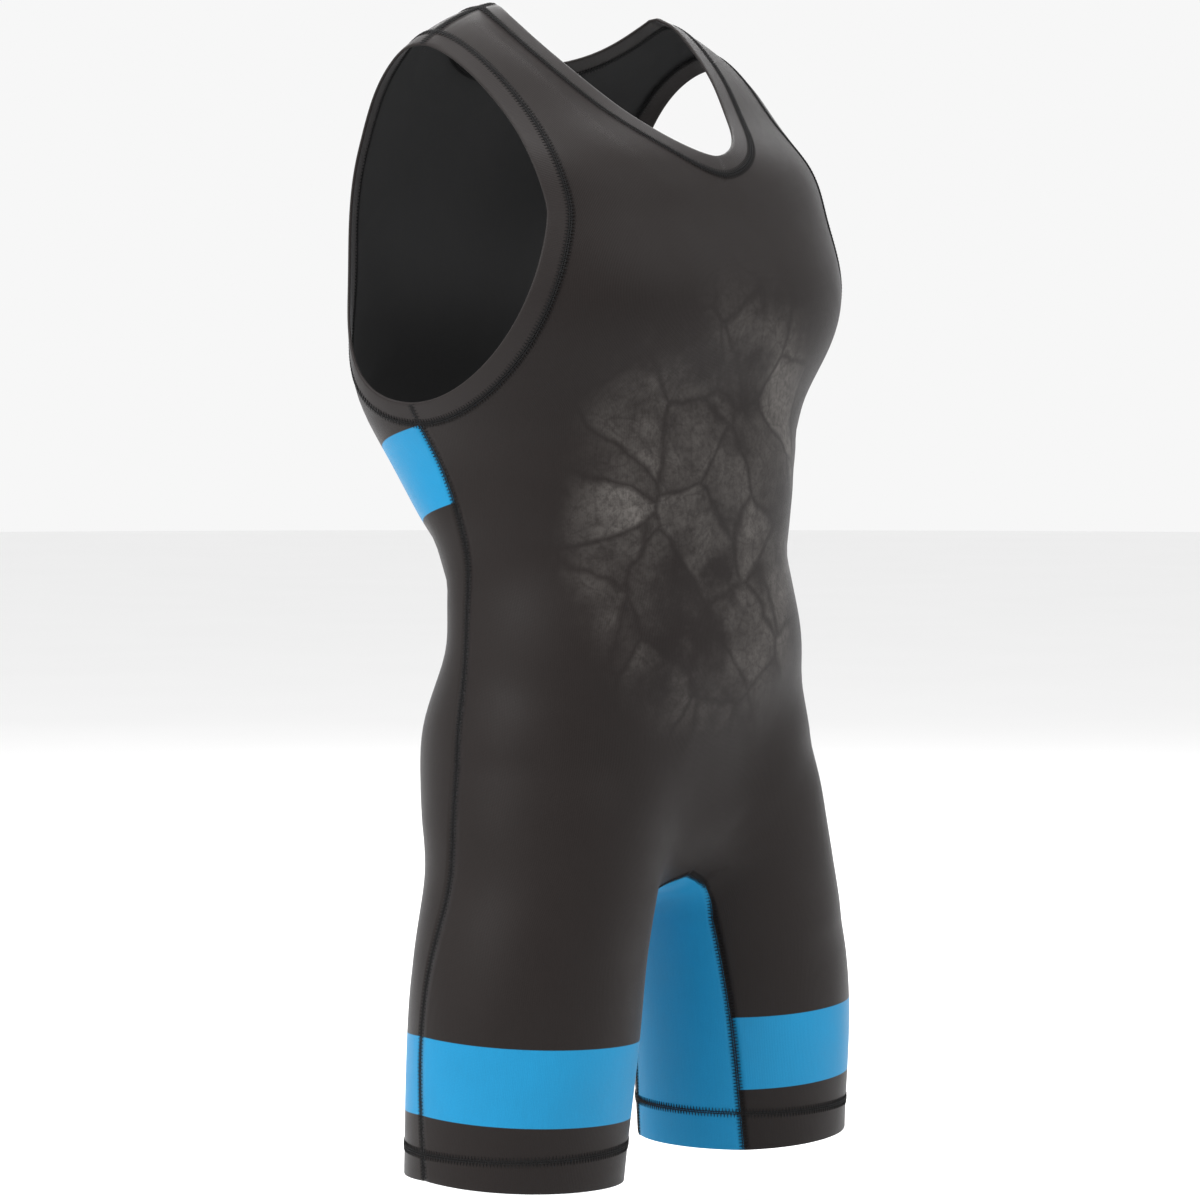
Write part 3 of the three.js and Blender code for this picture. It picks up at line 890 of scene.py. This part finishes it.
def knit_group():
    """Fine upright ribs of knit loops, and the uneven tone of the yarn."""
    if "Knit" in bpy.data.node_groups:
        return bpy.data.node_groups["Knit"]
    inputs = (
        ("Grain", "NodeSocketVector", None),
        ("Rib Width", "NodeSocketFloat", 0.0013),
        ("Streak", "NodeSocketFloat", 0.12),
    )
    outputs = (("Height", "NodeSocketFloat"), ("Tone", "NodeSocketFloat"), ("Gloss", "NodeSocketFloat"))
    group, start, end = new_group("Knit", inputs, outputs)
    split = add_node(group, "ShaderNodeSeparateXYZ", {0: start.outputs["Grain"]})
    turn = maths(group, "DIVIDE", 2 * math.pi, start.outputs["Rib Width"])
    across = maths(group, "MULTIPLY", split.outputs[0], turn)
    along = maths(group, "MULTIPLY", split.outputs[1], maths(group, "MULTIPLY", turn, 1.25))
    rib = maths(group, "ABSOLUTE", maths(group, "SINE", maths(group, "MULTIPLY", across, 0.5)))
    slant = maths(group, "ADD", along, maths(group, "MULTIPLY", rib, 2.2))
    loop = maths(group, "MULTIPLY", maths(group, "SINE", slant), 0.35)
    height = maths(group, "ADD", rib, maths(group, "MULTIPLY", loop, rib))

    # Streaks run down the cloth, wide patches and small flecks lie over them.
    drawn_out = {0: start.outputs["Grain"], 1: (520, 42, 0)}
    stretched = add_node(group, "ShaderNodeVectorMath", drawn_out, operation="MULTIPLY").outputs[0]
    broad = noise(group, start.outputs["Grain"], 16.0, 4.0, 0.55)
    streaks = centred(group, noise(group, stretched, 1.0, 3.0, 0.6), start.outputs["Streak"])
    wide = centred(group, broad, 0.22)
    small = centred(group, noise(group, start.outputs["Grain"], 900.0, 1.0), 0.16)
    tone = maths(group, "ADD", maths(group, "ADD", streaks, wide), small)
    tone = maths(group, "ADD", tone, 1.0)
    group.links.new(height, end.inputs["Height"])
    group.links.new(tone, end.inputs["Tone"])
    group.links.new(ramp(group, broad, 0.25, 0.75, -0.05, 0.05), end.inputs["Gloss"])
    return group


def band_group():
    """A printed band: 1 within half its height of its middle line, with a crisp edge."""
    if "Printed Band" in bpy.data.node_groups:
        return bpy.data.node_groups["Printed Band"]
    inputs = (("Distance", "NodeSocketFloat", 1.0), ("Height", "NodeSocketFloat", 0.055))
    group, start, end = new_group("Printed Band", inputs, (("Mask", "NodeSocketFloat"),))
    half = maths(group, "MULTIPLY", start.outputs["Height"], 0.5)
    past = maths(group, "SUBTRACT", maths(group, "ABSOLUTE", start.outputs["Distance"]), half)
    group.links.new(ramp(group, past, -0.0003, 0.0003, 1.0, 0.0), end.inputs["Mask"])
    return group


def new_material(name):
    """An empty material with its Principled shader linked to the output."""
    material = bpy.data.materials.new(name)
    material.use_nodes = True
    tree = material.node_tree
    return material, tree, tree.nodes["Principled BSDF"]


def add_bump(tree, shader, height, depth):
    """Raises the shader's surface by a height from 0 to 1, times the depth in metres."""
    bump = add_node(tree, "ShaderNodeBump", {"Height": height, "Strength": 0.3, "Distance": depth})
    tree.links.new(bump.outputs[0], shader.inputs["Normal"])


def attribute(tree, name):
    """A vector that the mesh holds for each point."""
    return add_node(tree, "ShaderNodeAttribute", attribute_name=name).outputs["Vector"]


def stone_motif(tree):
    """A worn cracked-stone print, as (lightness, cover), where cover fades out to the design's edge."""
    place = add_node(tree, "ShaderNodeSeparateXYZ", {0: attribute(tree, "motif")})
    level = {0: place.outputs[0], 1: place.outputs[1], 2: 0.31}
    flat = add_node(tree, "ShaderNodeCombineXYZ", level).outputs[0]
    warp = {0: noise(tree, flat, 14.0, 3.0, output="Color"), 1: (0.035, 0.035, 0.035), 2: flat}
    shifted = add_node(tree, "ShaderNodeVectorMath", warp, operation="MULTIPLY_ADD").outputs[0]
    cracks = cells(tree, shifted, 17.0, "Distance", "DISTANCE_TO_EDGE")
    hairs = cells(tree, shifted, 46.0, "Distance", "DISTANCE_TO_EDGE")
    plate = add_node(tree, "ShaderNodeSeparateXYZ", {0: cells(tree, shifted, 17.0, "Color")}).outputs[0]
    plate_tone = maths(tree, "MULTIPLY_ADD", plate, 0.65, 0.35)
    cloud = noise(tree, flat, 11.0, 6.0, 0.62)
    grit = noise(tree, flat, 240.0, 4.0, 0.7)
    light = maths(tree, "MULTIPLY", ramp(tree, cloud, 0.4, 0.72), plate_tone)
    light = maths(tree, "MULTIPLY", light, ramp(tree, cracks, 0.0, 0.07, 0.25, 1.0))
    light = maths(tree, "MULTIPLY", light, ramp(tree, hairs, 0.0, 0.06, 0.72, 1.0))
    light = maths(tree, "MULTIPLY", light, ramp(tree, grit, 0.3, 0.62, 0.45, 1.0))
    return light, place.outputs[2]


def cloth_material(name, colour, colours, roughness, banded=False, motif=False, sheen=0.12):
    """Knit cloth of one colour, with its ribs, uneven tone and sheen, and its printed bands and motif."""
    if name in bpy.data.materials:
        return bpy.data.materials[name]
    material, tree, shader = new_material(name)
    knit = add_node(tree, "ShaderNodeGroup", {"Grain": attribute(tree, "grain")}, node_tree=knit_group())
    base = (*colour, 1.0)
    if motif:
        light, cover = stone_motif(tree)
        base = mixed(tree, maths(tree, "MULTIPLY", light, cover, clamp=True), base, (*colours.motif, 1.0))
    if banded:
        split = add_node(tree, "ShaderNodeSeparateXYZ", {0: attribute(tree, "bands")})
        height = bpy.context.scene.singlet_sizes.band_height
        masks = []
        for distance in (split.outputs[0], split.outputs[1]):
            inputs = {"Distance": distance, "Height": height}
            masks.append(add_node(tree, "ShaderNodeGroup", inputs, node_tree=band_group()).outputs[0])
        band = maths(tree, "MAXIMUM", *masks)
        base = mixed(tree, band, base, (*colours.blue, 1.0))
    tone = add_node(tree, "ShaderNodeCombineXYZ", {k: knit.outputs["Tone"] for k in range(3)})
    coloured = mixed(tree, 1.0, base, tone.outputs[0], "MULTIPLY")
    tree.links.new(coloured, shader.inputs["Base Color"])
    tree.links.new(maths(tree, "ADD", knit.outputs["Gloss"], roughness), shader.inputs["Roughness"])
    add_bump(tree, shader, knit.outputs["Height"], 0.0002)
    shader.inputs["Specular IOR Level"].default_value = 0.12
    shader.inputs["Sheen Weight"].default_value = sheen
    shader.inputs["Sheen Roughness"].default_value = 0.3
    shader.inputs["Sheen Tint"].default_value = (0.86, 0.87, 0.9, 1.0)
    return material


def thread_material(colour):
    """Twisted black polyester thread."""
    name = "thread black"
    if name in bpy.data.materials:
        return bpy.data.materials[name]
    material, tree, shader = new_material(name)
    place = add_node(tree, "ShaderNodeTexCoord").outputs["Object"]
    fuzz = noise(tree, place, 2600.0, 2.0)
    twist = add_node(tree, "ShaderNodeTexWave", {"Vector": place, "Scale": 900.0, "Distortion": 1.0})
    dark = tuple(0.55 * c for c in colour)
    shade = mixed(tree, fuzz, (*dark, 1.0), (*colour, 1.0))
    tree.links.new(shade, shader.inputs["Base Color"])
    tree.links.new(ramp(tree, fuzz, 0.3, 0.7, 0.5, 0.7), shader.inputs["Roughness"])
    add_bump(tree, shader, twist.outputs["Fac"], 0.0001)
    shader.inputs["Specular IOR Level"].default_value = 0.2
    return material


# Settings


def size_setting(name, description, default):
    """A size in metres that the sidebar shows."""
    return bpy.props.FloatProperty(name=name, description=description, default=default, unit="LENGTH")


def colour_setting(name, description, default):
    """A colour that the sidebar shows."""
    return bpy.props.FloatVectorProperty(
        name=name, description=description, default=default, subtype="COLOR", size=3
    )


class SINGLET_PG_sizes(bpy.types.PropertyGroup):
    """Sizes of the cloth, its hems, its bands and its stitching."""

    cloth: size_setting("Cloth", "Thickness of one layer of knit", 0.0008)
    fold: size_setting("Fold", "Depth of a turned hem, outer face to inner face", 0.0022)
    hem_depth: size_setting("Leg hem", "Height of the turned-up leg hems", 0.028)
    edge_width: size_setting("Edge hem", "Width of the neck and armhole hems", 0.017)
    edge_proud: size_setting("Edge rise", "How far these hems stand out of the panels", 0.0004)
    thread: size_setting("Thread", "Diameter of the sewing thread", 0.00056)
    stitch_width: size_setting("Stitch width", "Width of a band of stitching", 0.0072)
    stitch_pitch: size_setting("Stitch pitch", "Length of one repeat of the stitching", 0.0026)
    band_height: size_setting("Band height", "Height of a printed band", 0.0565)
    band_rise: size_setting("Band rise", "From a leg's edge to its band", 0.0475)
    back_band_height: size_setting("Back band", "Height of the back band's middle line at the side seam", -0.343)
    back_band_drop: size_setting("Back band drop", "How far the back band falls to the centre", 0.046)
    motif_centre: size_setting("Print height", "Height of the front print's middle", -0.378)
    motif_half_width: size_setting("Print reach", "Half width of the front print", 0.165)
    motif_half_height: size_setting("Print rise", "Half height of the front print", 0.195)


class SINGLET_PG_colours(bpy.types.PropertyGroup):
    """Colours of the cloth, the print and the thread."""

    charcoal: colour_setting("Charcoal", "Main cloth", (0.0098, 0.0074, 0.0068))
    blue: colour_setting("Blue", "Inner leg panel and bands", (0.007, 0.17, 0.335))
    # The turned edges' colour is lighter than the charcoal as painted sheen.
    edge: colour_setting("Turned edge", "Cloth of the turned edges", (0.014, 0.0115, 0.011))
    reverse: colour_setting("Reverse", "Inner face of the cloth", (0.024, 0.024, 0.0245))
    motif: colour_setting("Print", "Lightest grey of the front print", (0.1, 0.092, 0.086))
    thread: colour_setting("Thread", "Sewing thread", (0.006, 0.006, 0.0065))


def printed_cloth(colours):
    """Charcoal knit with the printed bands and the front print."""
    return cloth_material("knit charcoal", tuple(colours.charcoal), colours, 0.5, banded=True, motif=True)


def reverse_cloth(colours):
    """The plain inner face of the knit."""
    return cloth_material("knit reverse", tuple(colours.reverse), colours, 0.75, sheen=0.04)


# Operators

NECK_CUT = (0.036, 0.90)
ARMHOLE_CUT = (0.036, 0.80)


def make_panel(context, node, facing):
    """The front panel, facing -1, or the back panel, facing 1."""
    sizes, colours = context.scene.singlet_sizes, context.scene.singlet_colours
    materials = (printed_cloth(colours), reverse_cloth(colours))
    piece = mesh_piece(node + "_cloth", panel_grids(facing, sizes), materials, sizes.cloth)
    fit_to_frame(piece, node)


class SINGLET_OT_front_panel(bpy.types.Operator):
    """Make the front panel, with its turned leg hems, bands and print"""

    bl_idname = "singlet.front_panel"
    bl_label = "Front Panel"

    def execute(self, context):
        make_panel(context, "front_panel", -1)
        return {"FINISHED"}


class SINGLET_OT_back_panel(bpy.types.Operator):
    """Make the back panel, with its turned leg hems and bands"""

    bl_idname = "singlet.back_panel"
    bl_label = "Back Panel"

    def execute(self, context):
        make_panel(context, "back_panel", 1)
        return {"FINISHED"}


class SINGLET_OT_inner_leg_panel(bpy.types.Operator):
    """Make the blue panel that runs from one leg hem over the crotch to the other"""

    bl_idname = "singlet.inner_leg_panel"
    bl_label = "Inner Leg Panel"

    def execute(self, context):
        sizes, colours = context.scene.singlet_sizes, context.scene.singlet_colours
        blue = cloth_material("knit blue", tuple(colours.blue), colours, 0.55)
        materials = (blue, reverse_cloth(colours))
        piece = mesh_piece("inner_leg_panel_cloth", gusset_grids(sizes), materials, sizes.cloth)
        fit_to_frame(piece, "inner_leg_panel")
        return {"FINISHED"}


class SINGLET_OT_turned_edges(bpy.types.Operator):
    """Make the turned edges of the neck and both armholes"""

    bl_idname = "singlet.turned_edges"
    bl_label = "Turned Edges"

    def execute(self, context):
        sizes, colours = context.scene.singlet_sizes, context.scene.singlet_colours
        arm = edge_grid(armhole_loop(ARMHOLE_POINTS["edge"]), sizes)
        left = {"points": mirrored(arm["points"]), "grain": arm["grain"][:, ::-1]}
        edges = (
            ("neck_hem", edge_grid(neck_loop(NECK_POINTS["edge"]), sizes), NECK_CUT),
            ("armhole_hem_right", arm, ARMHOLE_CUT),
            ("armhole_hem_left", left, ARMHOLE_CUT),
        )
        # The turned edges get a lighter base colour as painted sheen, on top of the shader's own sheen.
        edge = cloth_material("knit edge", tuple(colours.edge), colours, 0.5, sheen=0.16)
        materials = (edge, reverse_cloth(colours))
        for node, grid, cut in edges:
            piece = mesh_piece(node + "_cloth", [grid], materials, sizes.cloth)
            fit_to_frame(piece, node)
        return {"FINISHED"}


def seam_lines():
    """The garment's seams: name, line on the figure, and whether the left side has its mirror."""
    reach = 14  # past the hem's stitching, to the fold
    along = np.linspace(1, CORE_LENGTH, 90)
    body = np.linspace(HIP_SEAM, ARMHOLE_BOTTOM + reach, 90)
    side = np.concatenate([outer_leg(along, -1, np.zeros(1))[:, 0], side_seam(body)[1:]])
    lines = [("side_seam", side, True)]
    for name, facing in (("front_inner_leg_seam", -1), ("back_inner_leg_seam", 1)):
        right = inner_leg(along, np.array([facing]))[:, 0]
        lines.append((name, np.concatenate([right, (right[:-1] * MIRROR)[::-1]]), False))
    strap = strap_end(np.linspace(STRAP_INNER - reach, STRAP_OUTER + reach, 30))
    lines.append(("shoulder_seam", strap, True))
    return lines


class SINGLET_OT_seams(bpy.types.Operator):
    """Sew the flat seams at the sides, the shoulders and the inner leg panel"""

    bl_idname = "singlet.seams"
    bl_label = "Seams"

    def execute(self, context):
        sizes, colours = context.scene.singlet_sizes, context.scene.singlet_colours
        for name, line, both in seam_lines():
            sew(name, stitch_band(line, False, sizes, sizes.edge_proud / MM / 2), colours, both)
        return {"FINISHED"}


def leg_hem_loop(along):
    """Closed line of the right leg hem's stitching."""
    share = np.linspace(0, 1, 60)
    front, back = (outer_leg([along], facing, share)[0] for facing in (-1, 1))
    inner = inner_leg([along], np.linspace(-1, 1, 40))[0]
    return np.concatenate([front[:-1], inner[:-1], back[::-1][:-1]])


class SINGLET_OT_hem_stitching(bpy.types.Operator):
    """Sew down the turned hems of the neck, the armholes and the legs"""

    bl_idname = "singlet.hem_stitching"
    bl_label = "Hem Stitching"

    def execute(self, context):
        sizes, colours = context.scene.singlet_sizes, context.scene.singlet_colours
        proud = sizes.edge_proud / MM
        inner = -sizes.fold / MM
        hem = sizes.hem_depth / MM + 1.0
        loops = (
            ("neck_stitching", neck_loop(NECK_POINTS["stitching"]), False, proud, inner + proud),
            ("armhole_stitching", armhole_loop(ARMHOLE_POINTS["stitching"]), True, proud, inner + proud),
            ("leg_hem_stitching", leg_hem_loop(hem), True, 0.0, inner),
        )
        for name, loop, both, outside, inside in loops:
            threads = stitch_band(loop, True, sizes, outside)
            threads += stitch_band(loop, True, sizes, inside, inside=True)
            sew(name, threads, colours, both)
        return {"FINISHED"}


# Stage

FLOOR_HEIGHT = -0.93
FLOOR_RADIUS = 14.0
CAMERA_AZIMUTH = -50.0
CAMERA_ELEVATION = 3.1
CAMERA_DISTANCE = 3.305
CAMERA_LENS = 131.3
CAMERA_SHIFT = 0.0177
CAMERA_HEIGHT = -0.449

# Lights: azimuth and elevation in degrees, distance and size in metres, power in watts.
LIGHTS = [
    ("key", -104, 36, 2.4, 1.2, 56),
    ("fill", 24, 34, 3.0, 1.6, 26),
    ("rim", 128, 42, 3.2, 1.8, 60),
    ("top", -30, 74, 2.2, 1.2, 34),
]


def toward(azimuth, elevation):
    """Direction from the garment, where azimuth 0 is in front of it and elevation is above the level."""
    turn, lift = math.radians(azimuth), math.radians(elevation)
    return Vector((math.sin(turn) * math.cos(lift), -math.cos(turn) * math.cos(lift), math.sin(lift)))


class SINGLET_OT_stage(bpy.types.Operator):
    """Make the pale floor, the studio light and the camera"""

    bl_idname = "singlet.stage"
    bl_label = "Stage"

    def execute(self, context):
        scene = context.scene
        middle = Vector((0, 0, CAMERA_HEIGHT))

        corners = [
            (FLOOR_RADIUS * math.cos(turn), FLOOR_RADIUS * math.sin(turn), FLOOR_HEIGHT)
            for turn in np.linspace(0, 2 * math.pi, 97)[:-1]
        ]
        mesh = bpy.data.meshes.new("floor")
        mesh.from_pydata(corners, [], [tuple(range(len(corners)))])
        floor = bpy.data.objects.new("floor", mesh)
        scene.collection.objects.link(floor)
        material, tree, shader = new_material("floor pale")
        place = add_node(tree, "ShaderNodeTexCoord").outputs["Object"]
        shade = mixed(tree, noise(tree, place, 3.0, 2.0), (0.9, 0.9, 0.9, 1), (0.92, 0.92, 0.92, 1))
        tree.links.new(shade, shader.inputs["Base Color"])
        shader.inputs["Roughness"].default_value = 0.9
        shader.inputs["Specular IOR Level"].default_value = 0.1
        mesh.materials.append(material)

        world = bpy.data.worlds.new("studio")
        world.use_nodes = True
        background = world.node_tree.nodes["Background"]
        background.inputs["Color"].default_value = (1.0, 1.0, 1.0, 1.0)
        background.inputs["Strength"].default_value = 0.93
        scene.world = world

        for name, azimuth, elevation, distance, size, power in LIGHTS:
            light = bpy.data.lights.new(name, "AREA")
            light.shape = "DISK"
            light.size = size
            light.energy = power
            lamp = bpy.data.objects.new(name, light)
            direction = toward(azimuth, elevation)
            lamp.location = middle + direction * distance
            lamp.rotation_mode = "QUATERNION"
            lamp.rotation_quaternion = (-direction).to_track_quat("-Z", "Y")
            scene.collection.objects.link(lamp)

        data = bpy.data.cameras.new("camera")
        data.lens = CAMERA_LENS
        data.sensor_width = 36.0
        data.clip_start = 0.05
        data.clip_end = 60.0
        camera = bpy.data.objects.new("camera", data)
        back = toward(CAMERA_AZIMUTH, CAMERA_ELEVATION)
        turn = math.radians(CAMERA_AZIMUTH)
        aim = middle + Vector((math.cos(turn), math.sin(turn), 0)) * CAMERA_SHIFT
        camera.location = aim + back * CAMERA_DISTANCE
        camera.rotation_mode = "QUATERNION"
        camera.rotation_quaternion = (-back).to_track_quat("-Z", "Y")
        scene.collection.objects.link(camera)
        scene.camera = camera
        scene.view_settings.view_transform = "Standard"
        return {"FINISHED"}


class SINGLET_PT_panel(bpy.types.Panel):
    """The singlet's settings and pieces, in the 3D view's sidebar"""

    bl_label = "Singlet"
    bl_idname = "SINGLET_PT_panel"
    bl_space_type = "VIEW_3D"
    bl_region_type = "UI"
    bl_category = "Singlet"

    def draw(self, context):
        for settings in (context.scene.singlet_sizes, context.scene.singlet_colours):
            box = self.layout.box()
            for key in settings.__annotations__:
                box.prop(settings, key)
        for operator in OPERATORS:
            self.layout.operator(operator.bl_idname)


OPERATORS = (
    SINGLET_OT_front_panel,
    SINGLET_OT_back_panel,
    SINGLET_OT_inner_leg_panel,
    SINGLET_OT_turned_edges,
    SINGLET_OT_seams,
    SINGLET_OT_hem_stitching,
    SINGLET_OT_stage,
)
CLASSES = (SINGLET_PG_sizes, SINGLET_PG_colours, *OPERATORS, SINGLET_PT_panel)


def register():
    for cls in CLASSES:
        bpy.utils.register_class(cls)
    bpy.types.Scene.singlet_sizes = bpy.props.PointerProperty(type=SINGLET_PG_sizes)
    bpy.types.Scene.singlet_colours = bpy.props.PointerProperty(type=SINGLET_PG_colours)


def unregister():
    del bpy.types.Scene.singlet_colours
    del bpy.types.Scene.singlet_sizes
    for cls in reversed(CLASSES):
        bpy.utils.unregister_class(cls)


def main():
    register()
    for other in [o for o in bpy.context.scene.objects if o.type in {"CAMERA", "LIGHT"}]:
        bpy.data.objects.remove(other)
    bpy.ops.singlet.front_panel()
    bpy.ops.singlet.back_panel()
    bpy.ops.singlet.inner_leg_panel()
    bpy.ops.singlet.turned_edges()
    bpy.ops.singlet.seams()
    bpy.ops.singlet.hem_stitching()
    bpy.ops.singlet.stage()


if __name__ == "__main__":
    main()
